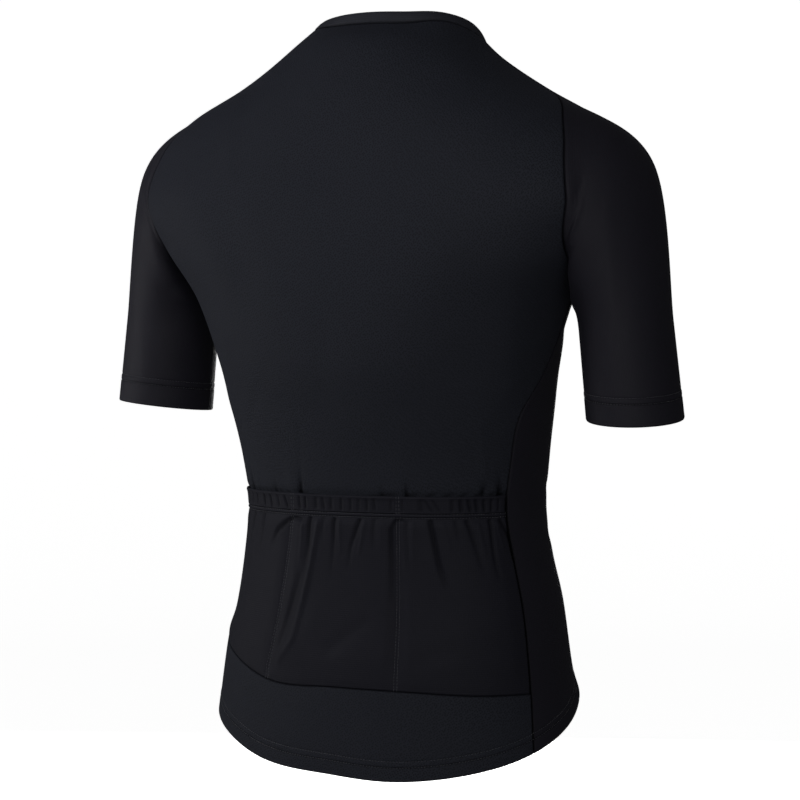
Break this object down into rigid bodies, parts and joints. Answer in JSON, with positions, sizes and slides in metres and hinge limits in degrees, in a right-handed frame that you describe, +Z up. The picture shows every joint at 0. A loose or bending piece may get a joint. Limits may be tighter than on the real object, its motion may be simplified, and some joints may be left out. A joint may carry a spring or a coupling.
{
  "type": "cycling jersey",
  "caption": "Short-sleeved road cycling jersey in its worn shape, empty, with low collar, full front zip, rear pockets under an elastic band and a dropped tail.",
  "frame": {"origin": "middle of the neck opening, at the height where the collar crosses the shoulders", "axes": "+Z up along the body, -Y out of the chest, +Y out of the back, +X towards the wearer's left"},
  "size_m": [0.5708, 0.2781, 0.6842],
  "materials": {
    "mesh_knit": "matt black polyester knit with a fine mesh of holes",
    "smooth_knit": "smooth black stretch knit with a faint sheen",
    "elastic": "black cloth rippled over elastic",
    "zip_tape": "woven black zip tape",
    "zip_metal": "black lacquered zinc"
  },
  "bodies": {
    "garment": {"back_panel": "mesh_knit", "lower_back_panel": "mesh_knit", "front_left": "mesh_knit", "front_right": "mesh_knit", "side_panel_left": "smooth_knit", "side_panel_right": "smooth_knit", "sleeve_left": "smooth_knit", "sleeve_right": "smooth_knit", "collar": "smooth_knit", "pocket_panel": "smooth_knit", "pocket_band": "elastic", "zip_tape_left": "zip_tape", "zip_tape_right": "zip_tape", "zip_slider": "zip_metal"},
    "pull_tab": {"zip_pull": "zip_metal"}
  },
  "joints": [
    {"name": "pull_tab_swing", "type": "hinge", "parent": "garment", "child": "pull_tab", "pos_m": [0, -0.0842, -0.0569], "axis": [-1, 0, 0], "range_deg": [0, 150]}
  ]
}
